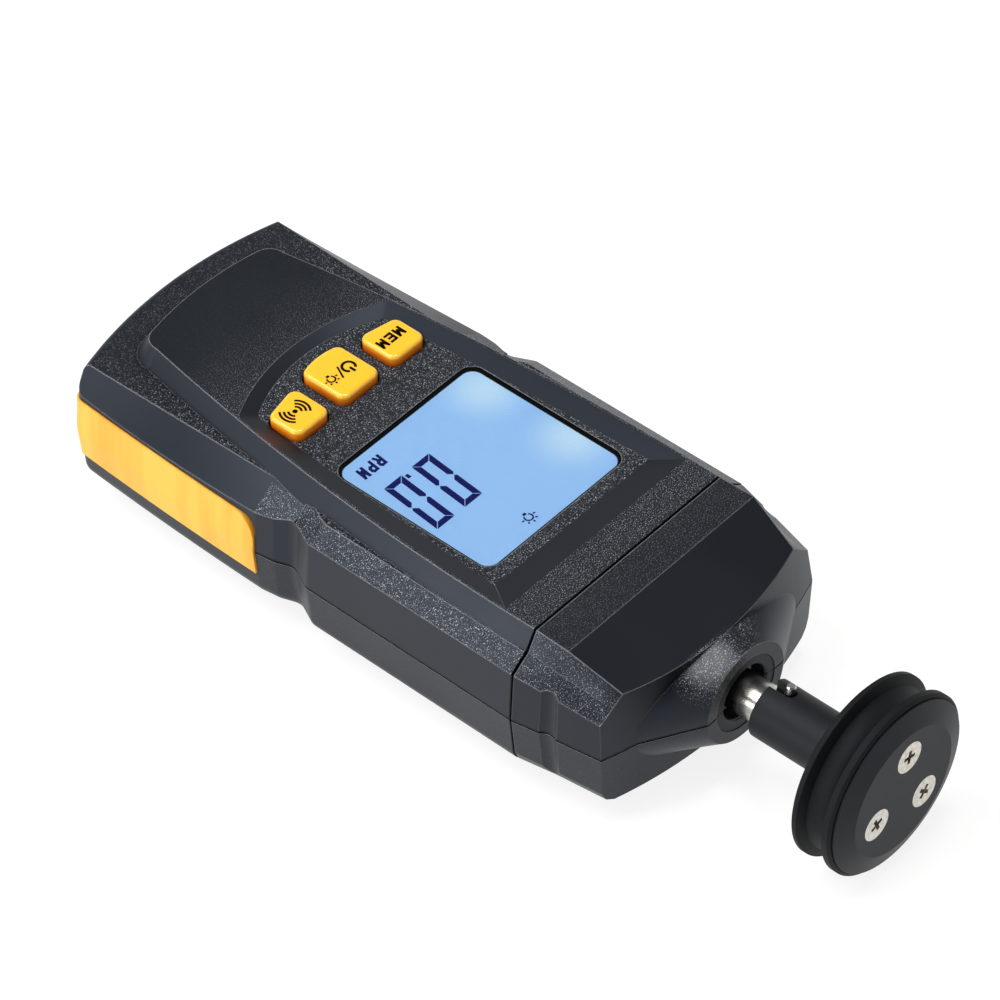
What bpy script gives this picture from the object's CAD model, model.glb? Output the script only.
import math

import bmesh
import bpy
from mathutils import Matrix, Vector


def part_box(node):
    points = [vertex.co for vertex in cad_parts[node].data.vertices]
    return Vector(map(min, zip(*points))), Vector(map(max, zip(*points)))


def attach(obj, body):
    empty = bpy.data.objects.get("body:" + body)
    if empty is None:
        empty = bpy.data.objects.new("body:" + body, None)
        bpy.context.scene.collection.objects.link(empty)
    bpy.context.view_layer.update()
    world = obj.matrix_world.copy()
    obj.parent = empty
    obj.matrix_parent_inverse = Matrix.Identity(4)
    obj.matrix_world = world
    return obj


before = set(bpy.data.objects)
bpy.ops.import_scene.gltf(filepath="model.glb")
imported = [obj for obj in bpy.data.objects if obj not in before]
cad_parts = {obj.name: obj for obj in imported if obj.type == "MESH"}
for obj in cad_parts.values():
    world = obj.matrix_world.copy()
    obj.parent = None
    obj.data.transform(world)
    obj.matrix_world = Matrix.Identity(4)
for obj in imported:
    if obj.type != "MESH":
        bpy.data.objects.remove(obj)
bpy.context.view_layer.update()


# Camera. A long lens looks down at the front of the tachometer from its keypad side, 45 degrees above
# the table, with the battery end at the upper left and the friction wheel at the lower right.
MM = 0.001
CAMERA_AZIMUTH = math.radians(132.914)
CAMERA_HEIGHT = math.radians(45.295)
CAMERA_ROLL = math.radians(-1.645)
CAMERA_DISTANCE = 928.95 * MM
CAMERA_TARGET = Vector((3.773, -0.643, 30.15)) * MM
SENSOR = 36.0
LENS = 214.05

camera_data = bpy.data.cameras.new("camera")
camera_data.sensor_width = SENSOR
camera_data.lens = LENS
camera_data.clip_start = CAMERA_DISTANCE / 10
camera = bpy.data.objects.new("camera", camera_data)
toward_camera = Vector((
    math.sin(CAMERA_AZIMUTH) * math.cos(CAMERA_HEIGHT),
    -math.cos(CAMERA_AZIMUTH) * math.cos(CAMERA_HEIGHT),
    math.sin(CAMERA_HEIGHT),
))
turned = toward_camera.to_track_quat("Z", "Y") @ Matrix.Rotation(CAMERA_ROLL, 3, "Z").to_quaternion()
camera_place = Matrix.Translation(CAMERA_TARGET + toward_camera * CAMERA_DISTANCE)
camera.matrix_world = camera_place @ turned.to_matrix().to_4x4()
bpy.context.scene.collection.objects.link(camera)
bpy.context.scene.camera = camera


# Table and light. A seamless white table in a white room with a dim ceiling, lit by a large softbox
# high on the keypad's right, a low one beside it and a small one over the spindle.
TABLE_HALF = 1.5
TABLE_WHITE = "#e6e6e4"
PAPER_GLOW = 1.16
GLOW_SHARE = 0.72
ROOM_LIGHT = 0.42
HORIZON = 0.20
CEILING = 0.62
DIM_CEILING = 0.12
SOFTBOXES = (
    ("softbox_high", (0.38, -0.33, 0.87), (0.60, 0.60), 7.0),
    ("softbox_low", (0.98, -0.27, 0.25), (0.60, 0.35), 3.8),
    ("softbox_spindle", (-0.12, 0.05, 0.90), (0.22, 0.22), 2.6),
)


def linear(code):
    """The linear RGBA of an sRGB hex colour."""
    channels = [int(code[i:i + 2], 16) / 255 for i in (1, 3, 5)]
    return (*[c / 12.92 if c <= 0.04045 else ((c + 0.055) / 1.055) ** 2.4 for c in channels], 1.0)


def add_node(tree, kind, inputs=None, **settings):
    """Adds one node. An input is a value, a node (its first output) or a (node, output) pair."""
    node = tree.nodes.new("ShaderNode" + kind)
    for name, value in settings.items():
        setattr(node, name, value)
    for name, value in (inputs or {}).items():
        socket = next(s for s in node.inputs if s.identifier == name)
        if isinstance(value, bpy.types.Node):
            tree.links.new(next(s for s in value.outputs if s.enabled), socket)
        elif isinstance(value, tuple) and isinstance(value[0], bpy.types.Node):
            source, output = value
            tree.links.new(next(s for s in source.outputs if s.identifier == output), socket)
        else:
            socket.default_value = value
    return node


room = bpy.data.worlds.new("white_room")
room.use_nodes = True
room_tree = room.node_tree
room_tree.nodes.clear()
room_path = add_node(room_tree, "LightPath")
room_height = add_node(room_tree, "SeparateXYZ", {"Vector": (add_node(room_tree, "TexCoord"), "Generated")})
mirrored_room = add_node(room_tree, "MapRange", {
    "Value": (room_height, "Z"), "From Min": HORIZON, "From Max": CEILING, "To Min": 1.0,
    "To Max": DIM_CEILING})
sharp_ray = add_node(room_tree, "Math", {
    "Value": (room_path, "Is Glossy Ray"), "Value_001": (room_path, "Is Transmission Ray")}, operation="MAXIMUM")
lighting_room = add_node(room_tree, "Mix", {
    "Factor_Float": sharp_ray, "A_Float": ROOM_LIGHT, "B_Float": mirrored_room})
room_strength = add_node(room_tree, "Mix", {
    "Factor_Float": (room_path, "Is Camera Ray"), "A_Float": lighting_room, "B_Float": 1.0})
room_glow = add_node(room_tree, "Background", {
    "Color": linear("#ffffff"), "Strength": room_strength})
add_node(room_tree, "OutputWorld", {"Surface": room_glow})
bpy.context.scene.world = room
bpy.context.scene.view_settings.view_transform = "Standard"

# Seamless paper: matt and white, with the object's soft shadow and no visible end.
table_surface = bpy.data.materials.new("white_seamless_paper")
table_surface.use_nodes = True
table_tree = table_surface.node_tree
table_tree.nodes.clear()
paper = add_node(table_tree, "BsdfDiffuse", {"Color": linear(TABLE_WHITE)})
paper_glow = add_node(table_tree, "Emission", {"Color": linear("#ffffff"), "Strength": PAPER_GLOW})
table_path = add_node(table_tree, "LightPath")
table_mirrored = add_node(table_tree, "Math", {
    "Value": (table_path, "Is Camera Ray"), "Value_001": (table_path, "Is Glossy Ray")}, operation="MAXIMUM")
table_seen = add_node(table_tree, "Math", {
    "Value": table_mirrored, "Value_001": (table_path, "Is Transmission Ray")}, operation="MAXIMUM")
glow_share = add_node(table_tree, "Math", {
    "Value": table_seen, "Value_001": GLOW_SHARE}, operation="MULTIPLY")
table_mix = add_node(table_tree, "MixShader", {"Fac": glow_share, "Shader": paper, "Shader_001": paper_glow})
add_node(table_tree, "OutputMaterial", {"Surface": table_mix})
table_mesh = bpy.data.meshes.new("table")
table_mesh.from_pydata([(x * TABLE_HALF, y * TABLE_HALF, 0) for x, y in ((-1, -1), (1, -1), (1, 1), (-1, 1))],
                       [], [(0, 1, 2, 3)])
table_mesh.materials.append(table_surface)
table = bpy.data.objects.new("table", table_mesh)
bpy.context.scene.collection.objects.link(table)

for lamp_name, place, (width, height), watts in SOFTBOXES:
    lamp_data = bpy.data.lights.new(lamp_name, "AREA")
    lamp_data.shape = "RECTANGLE"
    lamp_data.size = width
    lamp_data.size_y = height
    lamp_data.energy = watts
    lamp = bpy.data.objects.new(lamp_name, lamp_data)
    facing_part = Vector(place).to_track_quat("Z", "Y").to_matrix().to_4x4()
    lamp.matrix_world = Matrix.Translation(place) @ facing_part
    bpy.context.scene.collection.objects.link(lamp)


# Housing. Two shells and two nose halves injection moulded in black ABS; the tool's spark-eroded faces
# leave a fine grain that glitters on the flat tops, and its stoned faces leave satin walls. The real
# grain is 0.05 mm, too fine for the picture, and is drawn three times as coarse.
GRAIN = 0.17 * MM
CLOUD = 18 * MM
EDGE_ROUND = 0.30 * MM
CREASE = 0.9 * MM

# Where the finish changes: heights, half widths and stations along the case, and how level a face is.
PARTING_HEIGHT = 15.92 * MM
NOSE_SEAM = 22.6 * MM
SEAM_HALF = 0.2 * MM
PANEL_TOP = 31.0 * MM
PANEL_HALF_WIDTH = 22.2 * MM
SHOULDER_START = -36 * MM
SHOULDER_END = -30 * MM
REAR_FIELD_END = -58 * MM
KEY_ROW_START = -44 * MM
REAR_END = -70 * MM
KEY_ROW = -42 * MM
NOSE_RIM = 41 * MM
FLAT = 0.992
LEANING = 0.72
CONE_CENTRE = Vector((5, 43, 24.5)) * MM
KEY_SHINE = Vector((19.5, -37, 31)) * MM


def new_material(name):
    """A material with an empty node tree, and that tree."""
    material = bpy.data.materials.new(name)
    material.use_nodes = True
    material.node_tree.nodes.clear()
    return material, material.node_tree


def dress(material, *nodes):
    """Gives CAD nodes their finish."""
    for name in nodes:
        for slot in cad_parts[name].material_slots:
            slot.material = material


def eroded_on_shell(tree, place, spot, facing):
    """How strong the grain is on the upper shell: its flats and shoulders, but hardly on the rear field."""
    outward = add_node(tree, "Math", {"Value": (spot, "X")}, operation="ABSOLUTE")
    beside_panel = add_node(tree, "Math", {
        "Value": outward, "Value_001": PANEL_HALF_WIDTH}, operation="GREATER_THAN")
    past_keys = add_node(tree, "MapRange", {
        "Value": (spot, "Y"), "From Min": SHOULDER_START, "From Max": SHOULDER_END})
    on_shoulder = add_node(tree, "Math", {"Value": beside_panel, "Value_001": past_keys}, operation="MULTIPLY")
    flattest = add_node(tree, "MapRange", {"Value": on_shoulder, "To Min": FLAT, "To Max": LEANING})
    flat = add_node(tree, "Math", {"Value": (facing, "Z"), "Value_001": flattest}, operation="GREATER_THAN")
    strength = add_node(tree, "MapRange", {
        "Value": (spot, "Y"), "From Min": REAR_END, "From Max": KEY_ROW, "To Min": 0.30})
    graded = add_node(tree, "Math", {"Value": flat, "Value_001": strength}, operation="MULTIPLY")
    on_panel = add_node(tree, "Math", {"Value": (spot, "Z"), "Value_001": PANEL_TOP}, operation="GREATER_THAN")
    behind_keys = add_node(tree, "MapRange", {
        "Value": (spot, "Y"), "From Min": KEY_ROW_START, "From Max": REAR_FIELD_END})
    on_field = add_node(tree, "Math", {"Value": on_panel, "Value_001": behind_keys}, operation="MULTIPLY")
    field_share = add_node(tree, "MapRange", {"Value": on_field, "To Min": 1.0, "To Max": 0.15})
    return add_node(tree, "Math", {"Value": graded, "Value_001": field_share}, operation="MULTIPLY")


def eroded_on_nose(tree, place, spot, facing):
    """How strong the grain is on the nose: its flat top, the rim beside it and the cone by the spindle."""
    flat = add_node(tree, "Math", {"Value": (facing, "Z"), "Value_001": FLAT}, operation="GREATER_THAN")
    top = add_node(tree, "Math", {"Value": flat, "Value_001": 0.45}, operation="MULTIPLY")
    sideways = add_node(tree, "Math", {"Value": (facing, "X")}, operation="ABSOLUTE")
    rim = add_node(tree, "MapRange", {"Value": sideways, "From Min": 0.05, "From Max": 0.12, "To Max": 0.75})
    upward = add_node(tree, "MapRange", {"Value": (facing, "Z"), "From Min": 0.15, "From Max": 0.35})
    level = add_node(tree, "MapRange", {"Value": (facing, "Y"), "From Min": 0.40, "From Max": 0.25})
    upper_rim = add_node(tree, "Math", {"Value": rim, "Value_001": upward}, operation="MULTIPLY")
    level_rim = add_node(tree, "Math", {"Value": upper_rim, "Value_001": level}, operation="MULTIPLY")
    from_cone = add_node(tree, "VectorMath", {
        "Vector": (place, "Object"), "Vector_001": CONE_CENTRE}, operation="DISTANCE")
    near_cone = add_node(tree, "MapRange", {
        "Value": from_cone, "From Min": 2.5 * MM, "From Max": 7.5 * MM, "To Min": 2.0, "To Max": 0.0})
    past_rim = add_node(tree, "MapRange", {
        "Value": (spot, "Y"), "From Min": NOSE_RIM, "From Max": NOSE_RIM + 1 * MM})
    cone = add_node(tree, "Math", {"Value": near_cone, "Value_001": past_rim}, operation="MULTIPLY")
    flats = add_node(tree, "Math", {"Value": top, "Value_001": level_rim}, operation="MAXIMUM")
    return add_node(tree, "Math", {"Value": flats, "Value_001": cone}, operation="MAXIMUM")


def eroded_evenly(tree, place, spot, facing):
    """A trace of grain all over, as on the walls and the hidden back."""
    return add_node(tree, "MapRange", {
        "Value": (facing, "Z"), "From Min": -1.0, "From Max": 1.0, "To Min": 0.12, "To Max": 0.05})


def moulded_black(name, dark, eroded, roughness):
    """Black plastic: satin where the tool is stoned, a fine glittering grain where it is eroded."""
    material, tree = new_material(name)
    place = add_node(tree, "TexCoord")
    spot = add_node(tree, "SeparateXYZ", {"Vector": (place, "Object")})
    surface = add_node(tree, "NewGeometry")
    facing = add_node(tree, "SeparateXYZ", {"Vector": (surface, "Normal")})
    here = eroded(tree, place, spot, facing)

    # The grain is near black, with a bright speck where a grain stands up.
    grit = add_node(tree, "TexNoise", {"Vector": (place, "Object"), "Scale": 1 / GRAIN, "Detail": 0.0})
    raised = add_node(tree, "MapRange", {"Value": grit, "From Min": 0.42, "From Max": 0.78})
    speck = add_node(tree, "Math", {"Value": raised, "Value_001": 4.4}, operation="POWER")
    speck_here = add_node(tree, "Math", {"Value": speck, "Value_001": here}, operation="MULTIPLY")
    worn = add_node(tree, "MapRange", {
        "Value": here, "From Min": 1.0, "From Max": 2.0, "To Min": 0.0, "To Max": 0.6})
    ground = add_node(tree, "Mix", {
        "Factor_Float": worn, "A_Color": linear(dark), "B_Color": linear("#6c6d6c")}, data_type="RGBA")
    glittering = add_node(tree, "Mix", {
        "Factor_Float": speck_here, "A_Color": ground, "B_Color": linear("#a8abb0")}, data_type="RGBA")

    # Outer edges are polished pale by handling, and the keys throw an orange light on the wall beside them.
    edge = add_node(tree, "Bevel", {"Radius": EDGE_ROUND}, samples=4)
    turn = add_node(tree, "VectorMath", {
        "Vector": edge, "Vector_001": (surface, "Normal")}, operation="DOT_PRODUCT")
    turning = add_node(tree, "MapRange", {
        "Value": turn, "From Min": 0.99, "From Max": 0.93, "To Min": 0.0, "To Max": 0.85})
    openness = add_node(tree, "AmbientOcclusion", {"Distance": CREASE}, samples=4)
    outer = add_node(tree, "MapRange", {"Value": (openness, "AO"), "From Min": 0.85, "From Max": 1.0})
    edge_facing = add_node(tree, "SeparateXYZ", {"Vector": edge})
    upturned = add_node(tree, "MapRange", {
        "Value": (edge_facing, "Z"), "From Min": 0.05, "From Max": 0.55, "To Min": 0.15})
    outer_up = add_node(tree, "Math", {"Value": outer, "Value_001": upturned}, operation="MULTIPLY")
    polish = add_node(tree, "Math", {"Value": turning, "Value_001": outer_up}, operation="MULTIPLY")
    edged = add_node(tree, "Mix", {
        "Factor_Float": polish, "A_Color": glittering, "B_Color": linear("#95989c")}, data_type="RGBA")
    from_key = add_node(tree, "VectorMath", {
        "Vector": (place, "Object"), "Vector_001": KEY_SHINE}, operation="DISTANCE")
    shine = add_node(tree, "MapRange", {
        "Value": from_key, "From Min": 0.5 * MM, "From Max": 4.0 * MM, "To Min": 0.34, "To Max": 0.0})
    inner = add_node(tree, "Math", {"Value": (facing, "X"), "Value_001": 0.5}, operation="LESS_THAN")
    shine_here = add_node(tree, "Math", {"Value": shine, "Value_001": inner}, operation="MULTIPLY")
    stained = add_node(tree, "Mix", {
        "Factor_Float": shine_here, "A_Color": edged, "B_Color": linear("#6b3410")}, data_type="RGBA")

    # Creases and the two joints are black, in the colour and in the mirrored light, and the faces that
    # look along the spindle are half as bright, as the tool is stoned smoothest there.
    from_parting = add_node(tree, "Math", {
        "Value": (spot, "Z"), "Value_001": PARTING_HEIGHT}, operation="SUBTRACT")
    off_parting = add_node(tree, "Math", {"Value": from_parting}, operation="ABSOLUTE")
    from_seam = add_node(tree, "Math", {"Value": (spot, "Y"), "Value_001": NOSE_SEAM}, operation="SUBTRACT")
    off_seam = add_node(tree, "Math", {"Value": from_seam}, operation="ABSOLUTE")
    off_joint = add_node(tree, "Math", {"Value": off_parting, "Value_001": off_seam}, operation="MINIMUM")
    clear_of_joint = add_node(tree, "MapRange", {
        "Value": off_joint, "From Min": SEAM_HALF, "From Max": SEAM_HALF + 0.1 * MM})
    off_crease = add_node(tree, "MapRange", {"Value": (openness, "AO"), "From Min": 0.66, "From Max": 0.90})
    clear = add_node(tree, "Math", {"Value": off_crease, "Value_001": clear_of_joint}, operation="MULTIPLY")
    square_on = add_node(tree, "MapRange", {
        "Value": (facing, "Y"), "From Min": 0.95, "From Max": 0.99, "To Min": 1.0, "To Max": 0.5})
    lit = add_node(tree, "Math", {"Value": clear, "Value_001": square_on}, operation="MULTIPLY")
    colour = add_node(tree, "Mix", {
        "Factor_Float": lit, "A_Color": linear("#020203"), "B_Color": stained}, data_type="RGBA")
    mirrored = add_node(tree, "Mix", {
        "Factor_Float": lit, "A_Color": linear("#0a0b0d"), "B_Color": linear("#d6e2fb")}, data_type="RGBA")

    cloud = add_node(tree, "TexNoise", {"Vector": (place, "Object"), "Scale": 1 / CLOUD, "Detail": 1.0})
    rough = add_node(tree, "MapRange", {
        "Value": cloud, "From Min": 0.3, "From Max": 0.7,
        "To Min": roughness - 0.04, "To Max": roughness + 0.04})
    relief = add_node(tree, "Math", {"Value": grit, "Value_001": here}, operation="MULTIPLY")
    bump = add_node(tree, "Bump", {"Height": relief, "Distance": 0.05 * MM, "Strength": 0.5, "Normal": edge})
    plastic = add_node(tree, "BsdfPrincipled", {
        "Base Color": colour, "Specular Tint": mirrored, "Roughness": rough, "Normal": bump,
        "IOR": 1.53, "Specular IOR Level": 0.38})
    add_node(tree, "OutputMaterial", {"Surface": plastic})
    return material


# Spark-eroded ABS gives the main cover its glitter; the nose has less of it and is darker; the satin
# ABS of the back, the cover and the lower nose is even and soft; the spindle's ring is of nylon, which
# is matt and the darkest.
dress(moulded_black("spark_eroded_black_ABS", "#101317", eroded_on_shell, 0.42), "upper_shell")
dress(moulded_black("half_eroded_black_ABS", "#0d0f12", eroded_on_nose, 0.40), "nose_upper")
dress(moulded_black("satin_black_ABS", "#111417", eroded_evenly, 0.42),
      "lower_shell", "nose_lower", "battery_cover")
dress(moulded_black("matt_black_nylon", "#050607", eroded_evenly, 0.55), "spindle_bezel")


# Side grips. Two straps of soft yellow thermoplastic elastomer, moulded on their own and pressed into
# the pocket along each side; the skin is satin with slow waves of thickness across its length, and its
# translucency makes it glow where light passes through the edge.
grip_skin, grip_tree = new_material("satin_yellow_TPE")
grip_place = add_node(grip_tree, "TexCoord")
grip_along = add_node(grip_tree, "Mapping", {"Vector": (grip_place, "Object"), "Scale": (20.0, 380.0, 20.0)})
grip_waves = add_node(grip_tree, "TexNoise", {"Vector": grip_along, "Scale": 1.0, "Detail": 1.0})
grip_light = add_node(grip_tree, "MapRange", {"Value": grip_waves, "From Min": 0.35, "From Max": 0.65})
grip_colour = add_node(grip_tree, "Mix", {
    "Factor_Float": grip_light, "A_Color": linear("#f7aa2a"), "B_Color": linear("#fdbc46")}, data_type="RGBA")
grip_rough = add_node(grip_tree, "MapRange", {
    "Value": grip_waves, "From Min": 0.3, "From Max": 0.7, "To Min": 0.42, "To Max": 0.54})
grip_edge = add_node(grip_tree, "Bevel", {"Radius": 0.4 * MM}, samples=4)
grip_bump = add_node(grip_tree, "Bump", {
    "Height": grip_waves, "Distance": 0.25 * MM, "Strength": 0.5, "Normal": grip_edge})
grip_rubber = add_node(grip_tree, "BsdfPrincipled", {
    "Base Color": grip_colour, "Roughness": grip_rough, "Normal": grip_bump, "IOR": 1.5,
    "Subsurface Weight": 0.12, "Subsurface Radius": (1.2 * MM, 0.7 * MM, 0.2 * MM), "Subsurface Scale": 1.0})
add_node(grip_tree, "OutputMaterial", {"Surface": grip_rubber})
dress(grip_skin, "grip_right", "grip_left")


# Display. A clear acrylic window over a twisted-nematic LCD glass, lit pale blue by two lamps behind
# its far edge; the lit segments are dark navy and show RPM, the digits and a lamp sign.
GLASS_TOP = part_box("lcd_glass")[1].z
GLOW_SPOTS = (((-13.5, -19.5), 9.0), ((-14.5, -1.5), 9.0))

# Acrylic: a polished clear sheet that only shows by its reflections and its edge.
window_clear, window_tree = new_material("clear_acrylic")
window_place = add_node(window_tree, "TexCoord")
window_haze = add_node(window_tree, "TexNoise", {"Vector": (window_place, "Object"), "Scale": 1 / (6 * MM)})
window_rough = add_node(window_tree, "MapRange", {"Value": window_haze, "To Min": 0.0, "To Max": 0.03})
window_sheet = add_node(window_tree, "BsdfPrincipled", {
    "Roughness": window_rough, "IOR": 1.49, "Transmission Weight": 1.0, "Base Color": linear("#e7e7e7")})
add_node(window_tree, "OutputMaterial", {"Surface": window_sheet})
dress(window_clear, "display_window")

# Backlit glass: an even pale blue that glows, a little whiter over the two lamps.
lcd_lit, lcd_tree = new_material("backlit_LCD_glass")
lcd_place = add_node(lcd_tree, "TexCoord")
lcd_spots = []
for (spot_x, spot_y), reach in GLOW_SPOTS:
    away = add_node(lcd_tree, "VectorMath", {
        "Vector": (lcd_place, "Object"), "Vector_001": (spot_x * MM, spot_y * MM, GLASS_TOP)},
        operation="DISTANCE")
    lcd_spots.append(add_node(lcd_tree, "MapRange", {
        "Value": away, "From Min": 0.0, "From Max": reach * MM, "To Min": 1.0, "To Max": 0.0},
        interpolation_type="SMOOTHSTEP"))
lcd_glow = add_node(lcd_tree, "Math", {"Value": lcd_spots[0], "Value_001": lcd_spots[1]},
                    operation="ADD", use_clamp=True)
lcd_colour = add_node(lcd_tree, "Mix", {
    "Factor_Float": lcd_glow, "A_Color": linear("#97c6fb"), "B_Color": linear("#c6e8ff")}, data_type="RGBA")
lcd_surface = add_node(lcd_tree, "BsdfPrincipled", {
    "Base Color": linear("#5f7f9c"), "Roughness": 0.2, "IOR": 1.5,
    "Emission Color": lcd_colour, "Emission Strength": 1.0})
add_node(lcd_tree, "OutputMaterial", {"Surface": lcd_surface})
dress(lcd_lit, "lcd_glass")

SEGMENT_THICK = 0.03 * MM
SEGMENT_HEIGHT = GLASS_TOP + 0.015 * MM
DIGIT_LOW = -16.4
DIGIT_TALL = 12.3
DIGIT_WIDE = 4.05
DIGIT_LEFTS = (3.0, 9.42)
STROKE = 1.1
SLANT = math.tan(math.radians(5))
GAP = 0.16


def new_piece(name, mesh, material, body):
    """Links a mesh as a piece that rides on a body."""
    piece = bpy.data.objects.new(name, mesh)
    mesh.materials.append(material)
    bpy.context.scene.collection.objects.link(piece)
    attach(piece, body)
    return piece


def flat_print(name, outlines, height, material, body):
    """A thin printed layer: each outline (mm, anticlockwise) becomes a closed sheet at that height."""
    shape = bmesh.new()
    for outline in outlines:
        low = [shape.verts.new((x * MM, y * MM, height)) for x, y in outline]
        high = [shape.verts.new((x * MM, y * MM, height + SEGMENT_THICK)) for x, y in outline]
        shape.faces.new(list(reversed(low)))
        shape.faces.new(high)
        for i in range(len(low)):
            following = (i + 1) % len(low)
            shape.faces.new((low[i], low[following], high[following], high[i]))
    mesh = bpy.data.meshes.new(name)
    shape.to_mesh(mesh)
    shape.free()
    return new_piece(name, mesh, material, body)


def zero_segments(left, low):
    """The six lit strokes of a zero: mitred at its corners, parted at mid height and leaning over."""
    right = left + DIGIT_WIDE
    top = low + DIGIT_TALL
    middle = low + DIGIT_TALL / 2
    gap = GAP / 2
    outer_left, inner_left = left + gap, left + STROKE + gap
    outer_right, inner_right = right - gap, right - STROKE - gap
    strokes = [
        [(outer_left, low), (outer_right, low), (inner_right, low + STROKE), (inner_left, low + STROKE)],
        [(inner_left, top - STROKE), (inner_right, top - STROKE), (outer_right, top), (outer_left, top)],
    ]
    for base, crown in ((low, middle), (top, middle)):
        rise = 1 if crown > base else -1
        for side, inward in ((left, 1), (right, -1)):
            stroke = [
                (side, base + rise * gap), (side + inward * STROKE, base + rise * (STROKE + gap)),
                (side + inward * STROKE, crown - rise * (gap + STROKE * 0.7)),
                (side + inward * STROKE / 3, crown - rise * gap),
                (side, crown - rise * (gap + STROKE * 0.35))]
            strokes.append(stroke if inward * rise > 0 else stroke[::-1])
    return [[(x + (y - low) * SLANT, y) for x, y in stroke] for stroke in strokes]


def arc_stroke(centre, radius, width, start, end, steps=14):
    """A curved pen stroke between two angles in degrees, as one outline."""
    x, y = centre
    outer_radius, inner_radius = radius + width / 2, radius - width / 2
    angles = [math.radians(start + (end - start) * i / steps) for i in range(steps + 1)]
    outer = [(x + outer_radius * math.cos(a), y + outer_radius * math.sin(a)) for a in angles]
    inner = [(x + inner_radius * math.cos(a), y + inner_radius * math.sin(a)) for a in angles]
    return outer + inner[::-1]


def line_stroke(start, end, width):
    """A straight pen stroke between two points, as one outline."""
    along = (Vector(end) - Vector(start)).normalized() * width / 2
    across = Vector((-along.y, along.x))
    a, b = Vector(start), Vector(end)
    return [tuple(a - across), tuple(b - across), tuple(b + across), tuple(a + across)]


def lamp_sign(centre, size, pen):
    """A lamp with its cap below and five rays above, size across its bulb."""
    x, y = centre
    strokes = [arc_stroke(centre, size / 2, pen, -50, 230)]
    cap_half, cap_height = size * 0.22, y - size * 0.62
    strokes.append(line_stroke((x - cap_half, cap_height), (x + cap_half, cap_height), size * 0.34))
    for angle in (0, 45, 90, 135, 180):
        ray = Vector((math.cos(math.radians(angle)), math.sin(math.radians(angle))))
        strokes.append(line_stroke(Vector(centre) + ray * size * 0.72, Vector(centre) + ray * size, pen))
    return strokes


LETTERS = {
    "E": [[(1, 0), (0, 0), (0, 1), (1, 1)], [(0, 0.5), (0.8, 0.5)]],
    "M": [[(0, 0), (0, 1), (0.5, 0.3), (1, 1), (1, 0)]],
    "P": [[(0, 0), (0, 1), (0.75, 1), (1, 0.87), (1, 0.6), (0.75, 0.47), (0, 0.47)]],
    "R": [[(0, 0), (0, 1), (0.75, 1), (1, 0.87), (1, 0.63), (0.75, 0.5), (0, 0.5)], [(0.5, 0.5), (1, 0)]],
}


def word_strokes(word, low, high, pen, lean=0.0):
    """Plain capitals drawn with one pen, filling the box from low to high (mm); lean tips them over."""
    pitch = (high[0] - low[0] + pen * 0.8) / len(word)
    wide = pitch - pen * 1.8
    tall = high[1] - low[1] - pen
    strokes = []
    for number, letter in enumerate(word):
        left = low[0] + pen / 2 + number * pitch
        for line in LETTERS[letter]:
            points = [Vector((left + x * wide + y * tall * lean, low[1] + pen / 2 + y * tall)) for x, y in line]
            for start, end in zip(points, points[1:]):
                reach = (end - start).normalized() * pen / 2
                strokes.append(line_stroke(start - reach, end + reach, pen))
    return strokes


# Driven liquid crystal: it blocks the lamp behind it and lets only a deep navy through.
segment_ink, segment_tree = new_material("driven_LCD_segment")
segment_place = add_node(segment_tree, "TexCoord")
segment_cloud = add_node(segment_tree, "TexNoise", {
    "Vector": (segment_place, "Object"), "Scale": 1 / (1.5 * MM)})
segment_colour = add_node(segment_tree, "Mix", {
    "Factor_Float": segment_cloud, "A_Color": linear("#010206"), "B_Color": linear("#02040c")},
    data_type="RGBA")
segment_crystal = add_node(segment_tree, "BsdfPrincipled", {
    "Base Color": segment_colour, "Roughness": 0.6, "IOR": 1.5, "Specular IOR Level": 0.0,
    "Emission Color": linear("#101c8c"), "Emission Strength": 0.50})
add_node(segment_tree, "OutputMaterial", {"Surface": segment_crystal})

LCD_PEN = 0.28
WORD_PEN = 0.52
DOT = [(8.55, -15.9), (9.2, -15.9), (9.2, -15.0), (8.55, -15.0)]
for place_number, digit_left in enumerate(DIGIT_LEFTS):
    flat_print(f"lcd_digit_{place_number + 1}", zero_segments(digit_left, DIGIT_LOW), SEGMENT_HEIGHT,
               segment_ink, "case")
flat_print("lcd_decimal_point", [DOT], SEGMENT_HEIGHT, segment_ink, "case")
flat_print("lcd_lamp_sign", lamp_sign((3.3, 4.9), 1.45, LCD_PEN), SEGMENT_HEIGHT, segment_ink, "case")
flat_print("lcd_unit", word_strokes("RPM", (8.4, -22.45), (13.6, -19.95), WORD_PEN, 0.1), SEGMENT_HEIGHT,
           segment_ink, "case")


# Keys. Three amber silicone rubber keys, each moulded with a flange that holds it under the cover; the
# print is black silicone ink, and light that enters the rubber comes out orange round its foot.
KEY_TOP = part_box("button_middle")[1].z

# Silicone: saturated amber under a glossy skin, with soft highlights on its rounded shoulders.
key_rubber, key_tree = new_material("gloss_amber_silicone")
key_place = add_node(key_tree, "TexCoord")
key_height = add_node(key_tree, "SeparateXYZ", {"Vector": (key_place, "Object")})
key_foot = add_node(key_tree, "MapRange", {
    "Value": (key_height, "Z"), "From Min": KEY_TOP - 1.7 * MM, "From Max": KEY_TOP - 0.2 * MM})
key_colour = add_node(key_tree, "Mix", {
    "Factor_Float": key_foot, "A_Color": linear("#f87608"), "B_Color": linear("#ffbf2c")}, data_type="RGBA")
key_cloud = add_node(key_tree, "TexNoise", {"Vector": (key_place, "Object"), "Scale": 1 / (2.5 * MM)})
key_rough = add_node(key_tree, "MapRange", {"Value": key_cloud, "To Min": 0.24, "To Max": 0.36})
key_edge = add_node(key_tree, "Bevel", {"Radius": 0.5 * MM}, samples=4)
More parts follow.
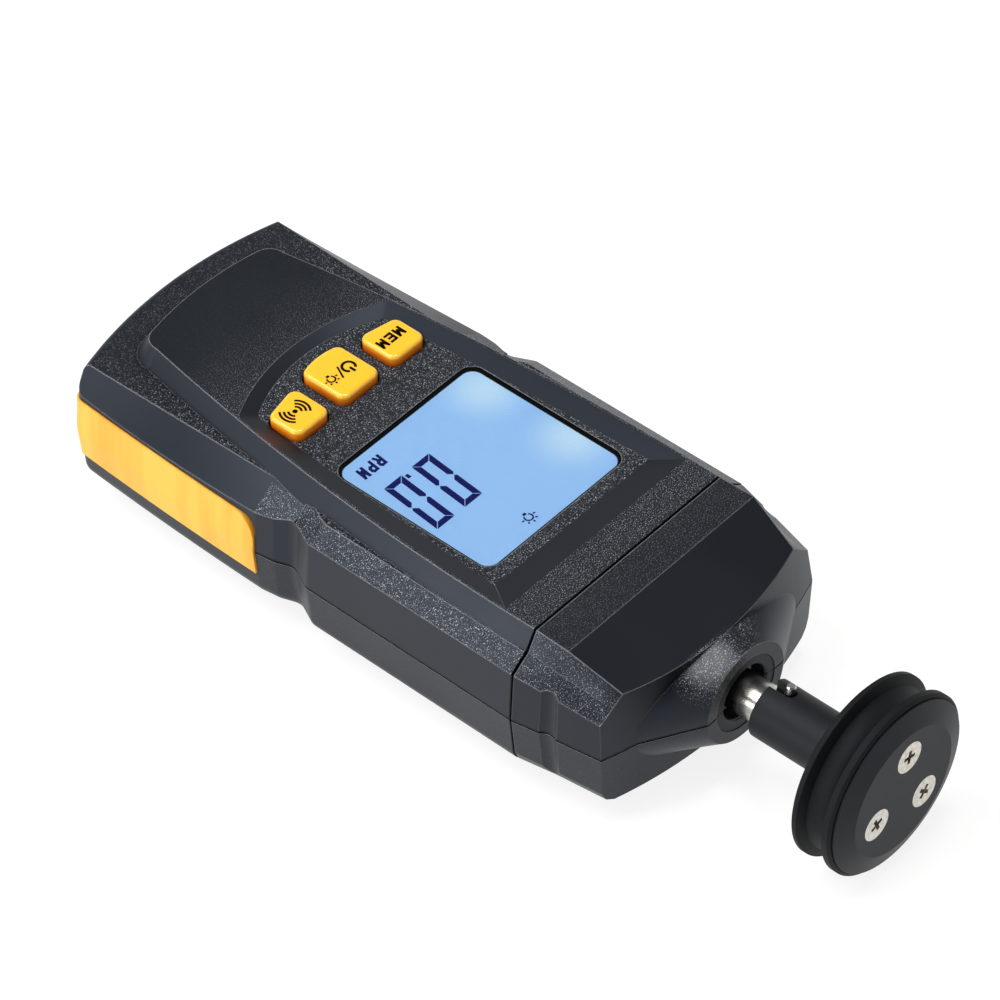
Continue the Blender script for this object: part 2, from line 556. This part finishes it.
key_silicone = add_node(key_tree, "BsdfPrincipled", {
    "Base Color": key_colour, "Roughness": key_rough, "Normal": key_edge, "IOR": 1.43,
    "Subsurface Weight": 0.35, "Subsurface Radius": (2.4 * MM, 1.0 * MM, 0.15 * MM), "Subsurface Scale": 1.0,
    "Coat Weight": 0.9, "Coat Roughness": 0.12})
add_node(key_tree, "OutputMaterial", {"Surface": key_silicone})
dress(key_rubber, "button_right", "button_middle", "button_left")

# Ink: a flat warm black, without shine.
key_ink, ink_tree = new_material("black_silicone_ink")
ink_place = add_node(ink_tree, "TexCoord")
ink_cloud = add_node(ink_tree, "TexNoise", {"Vector": (ink_place, "Object"), "Scale": 1 / (0.4 * MM)})
ink_colour = add_node(ink_tree, "Mix", {
    "Factor_Float": ink_cloud, "A_Color": linear("#050403"), "B_Color": linear("#0f0c08")}, data_type="RGBA")
ink_film = add_node(ink_tree, "BsdfPrincipled", {
    "Base Color": ink_colour, "Roughness": 0.6, "IOR": 1.43, "Specular IOR Level": 0.1})
add_node(ink_tree, "OutputMaterial", {"Surface": ink_film})

SOUND_CENTRE = (11.45, -37.25)
SOUND_PEN = 0.40
SOUND_DOT = 0.44
sound_strokes = [arc_stroke(SOUND_CENTRE, SOUND_DOT / 2, SOUND_DOT, 0, 359.9, 20)]
for reach in (1.05, 1.75, 2.45):
    sound_strokes.append(arc_stroke(SOUND_CENTRE, reach, SOUND_PEN, -46, 46))
    sound_strokes.append(arc_stroke(SOUND_CENTRE, reach, SOUND_PEN, 134, 226))
flat_print("sound_sign", sound_strokes, KEY_TOP, key_ink, "sound_key")

POWER_X, POWER_Y = -1.6, -37.75
POWER_PEN = 0.48
SLASH_PEN = 0.32
LAMP_PEN = 0.30
power_strokes = [
    arc_stroke((POWER_X, POWER_Y), 1.1, POWER_PEN, 125, 415, 24),
    line_stroke((POWER_X, POWER_Y + 0.25), (POWER_X, POWER_Y + 1.5), POWER_PEN),
    line_stroke((-0.35, -39.1), (0.85, -36.6), SLASH_PEN),
]
flat_print("power_sign", power_strokes + lamp_sign((2.35, -37.85), 1.35, LAMP_PEN), KEY_TOP, key_ink,
           "power_key")

MEMORY_PEN = 0.46
flat_print("memory_word", word_strokes("MEM", (-13.6, -38.2), (-8.2, -36.1), MEMORY_PEN), KEY_TOP, key_ink,
           "memory_key")


# Spindle. A ground and nickel-plated steel shaft in two ball bearings, with a steel pin through it and
# a stamped clip behind; turning marks run round every steel piece.
def turned_metal(name, colour, streak, roughness, pitch):
    """Turned metal: fine rings round the spindle, drawn coarser than the real feed so that they show."""
    material, tree = new_material(name)
    place = add_node(tree, "TexCoord")
    rings = add_node(tree, "Mapping", {"Vector": (place, "Object"), "Scale": (60.0, 1 / pitch, 60.0)})
    marks = add_node(tree, "TexNoise", {"Vector": rings, "Scale": 1.0, "Detail": 3.0})
    tint = add_node(tree, "Mix", {
        "Factor_Float": marks, "A_Color": linear(colour), "B_Color": linear(streak)}, data_type="RGBA")
    rough = add_node(tree, "MapRange", {"Value": marks, "To Min": roughness * 0.7, "To Max": roughness * 1.3})
    bump = add_node(tree, "Bump", {"Height": marks, "Distance": 0.004 * MM, "Strength": 0.6})
    metal = add_node(tree, "BsdfPrincipled", {
        "Base Color": tint, "Metallic": 1.0, "Roughness": rough, "Normal": bump})
    add_node(tree, "OutputMaterial", {"Surface": metal})
    return material


# Plated steel mirrors the room in bright bands; the bearings are greyer, and the bracket's casting is dull.
dress(turned_metal("nickel_plated_ground_steel", "#d6d4ce", "#a9a7a0", 0.22, 0.25 * MM),
      "spindle_shaft", "cross_pin", "retaining_clip")
dress(turned_metal("bearing_steel", "#c2c2c0", "#8b8b8a", 0.28, 0.2 * MM), "front_bearing", "rear_bearing")
dress(turned_metal("aluminium_die_casting", "#9a9c9e", "#7c7e80", 0.5, 0.6 * MM), "bearing_bracket")


# Friction wheel. A sleeve of black glass-filled nylon, a nitrile rubber tyre with two lips and a clamping disc of
# slate grey moulded plastic, held by three countersunk cross-head screws.
WHEEL_CREASE = 0.7 * MM


def satin_black(name, dark, light, grit, depth, roughness, ior):
    """A dark satin surface with a fine grit and slow changes of shade, black in its creases."""
    material, tree = new_material(name)
    place = add_node(tree, "TexCoord")
    grain = add_node(tree, "TexNoise", {"Vector": (place, "Object"), "Scale": 1 / grit, "Detail": 2.0})
    cloud = add_node(tree, "TexNoise", {"Vector": (place, "Object"), "Scale": 1 / (7 * MM)})
    tint = add_node(tree, "Mix", {
        "Factor_Float": cloud, "A_Color": linear(dark), "B_Color": linear(light)}, data_type="RGBA")
    openness = add_node(tree, "AmbientOcclusion", {"Distance": WHEEL_CREASE}, samples=4)
    lit = add_node(tree, "MapRange", {"Value": (openness, "AO"), "From Min": 0.60, "From Max": 0.90})
    colour = add_node(tree, "Mix", {
        "Factor_Float": lit, "A_Color": linear("#010101"), "B_Color": tint}, data_type="RGBA")
    mirrored = add_node(tree, "Mix", {
        "Factor_Float": lit, "A_Color": linear("#0b0b0c"), "B_Color": linear("#e8ecf4")}, data_type="RGBA")
    rough = add_node(tree, "MapRange", {
        "Value": grain, "To Min": roughness - 0.06, "To Max": roughness + 0.06})
    edge = add_node(tree, "Bevel", {"Radius": 0.2 * MM}, samples=4)
    bump = add_node(tree, "Bump", {"Height": grain, "Distance": depth, "Strength": 0.6, "Normal": edge})
    surface = add_node(tree, "BsdfPrincipled", {
        "Base Color": colour, "Specular Tint": mirrored, "Roughness": rough, "Normal": bump,
        "IOR": ior, "Specular IOR Level": 0.18})
    add_node(tree, "OutputMaterial", {"Surface": surface})
    return material


# The nylon sleeve is smooth and even, the rubber is the blackest and has a granular skin, and the
# moulded disc is a shade lighter with a faint sheen that sets it off from the tyre.
dress(satin_black("glass_filled_black_nylon", "#111316", "#16181b", 0.25 * MM, 0.008 * MM, 0.52, 1.6),
      "adapter_sleeve")
dress(satin_black("nitrile_rubber", "#0a0b0c", "#101113", 0.30 * MM, 0.030 * MM, 0.62, 1.52), "wheel_tyre")
dress(satin_black("slate_moulded_disc", "#17191c", "#1c1e22", 0.22 * MM, 0.008 * MM, 0.46, 1.5), "wheel_cap")


# Fasteners. Cold-headed cross-head screws of zinc-plated steel, three in the wheel and six in the back,
# with a bright skin and darker recesses.
def plated_screw(name, bright, shade):
    """Plated steel, mottled where the barrel plating varies."""
    material, tree = new_material(name)
    place = add_node(tree, "TexCoord")
    mottle = add_node(tree, "TexNoise", {"Vector": (place, "Object"), "Scale": 1 / (0.5 * MM), "Detail": 2.0})
    tint = add_node(tree, "Mix", {
        "Factor_Float": mottle, "A_Color": linear(bright), "B_Color": linear(shade)}, data_type="RGBA")
    rough = add_node(tree, "MapRange", {"Value": mottle, "To Min": 0.18, "To Max": 0.42})
    metal = add_node(tree, "BsdfPrincipled", {"Base Color": tint, "Metallic": 1.0, "Roughness": rough})
    add_node(tree, "OutputMaterial", {"Surface": metal})
    return material


# The wheel's screws have a warm, bright plating against the dark disc; the back's is bluer and duller.
dress(plated_screw("bright_zinc_plated_screw", "#efece4", "#979184"), "wheel_screws")
dress(plated_screw("zinc_plated_screw", "#c9cccf", "#8f9498"), "case_screws")


# Works. Fibreglass board, epoxy parts, nylon carriers and plated spring contacts, soldered or clipped in
# behind the display; only the cells and their contacts ever show, when the battery cover is off.
def works_finish(name, base, varied, scale, roughness, metallic=0.0):
    """A plain factory finish with its own slight mottle."""
    material, tree = new_material(name)
    place = add_node(tree, "TexCoord")
    mottle = add_node(tree, "TexNoise", {"Vector": (place, "Object"), "Scale": 1 / scale, "Detail": 2.0})
    tint = add_node(tree, "Mix", {
        "Factor_Float": mottle, "A_Color": linear(base), "B_Color": linear(varied)}, data_type="RGBA")
    rough = add_node(tree, "MapRange", {
        "Value": mottle, "To Min": roughness - 0.08, "To Max": roughness + 0.08})
    surface = add_node(tree, "BsdfPrincipled", {"Base Color": tint, "Metallic": metallic, "Roughness": rough})
    add_node(tree, "OutputMaterial", {"Surface": surface})
    return material


# Solder mask is a glossy green, epoxy and nylon are dull blacks, the light guide is milky, the contact
# rubber is striped grey, the spring contacts are bright, and the cells have glossy blue sleeves.
dress(works_finish("green_solder_mask", "#1e5b36", "#2a6d43", 1.2 * MM, 0.35), "main_board")
dress(works_finish("moulded_epoxy", "#17181a", "#222326", 0.3 * MM, 0.6),
      "processor_chip", "slot_sensor", "tact_switches")
dress(works_finish("black_nylon", "#1c1c1d", "#252527", 0.5 * MM, 0.5), "buzzer", "lcd_frame", "encoder_disc")
dress(works_finish("milky_acrylic", "#dfe8ef", "#eef4f8", 3 * MM, 0.4), "backlight")
dress(works_finish("striped_contact_rubber", "#8d9199", "#3b3e44", 0.15 * MM, 0.6), "rubber_connectors")
dress(works_finish("nickel_plated_spring_steel", "#cfd0cc", "#a3a49f", 0.4 * MM, 0.28, 1.0),
      "contact_springs", "contact_plates")
dress(works_finish("shrink_sleeved_cell", "#2b4a7d", "#335590", 5 * MM, 0.3),
      "battery_1", "battery_2", "battery_3")
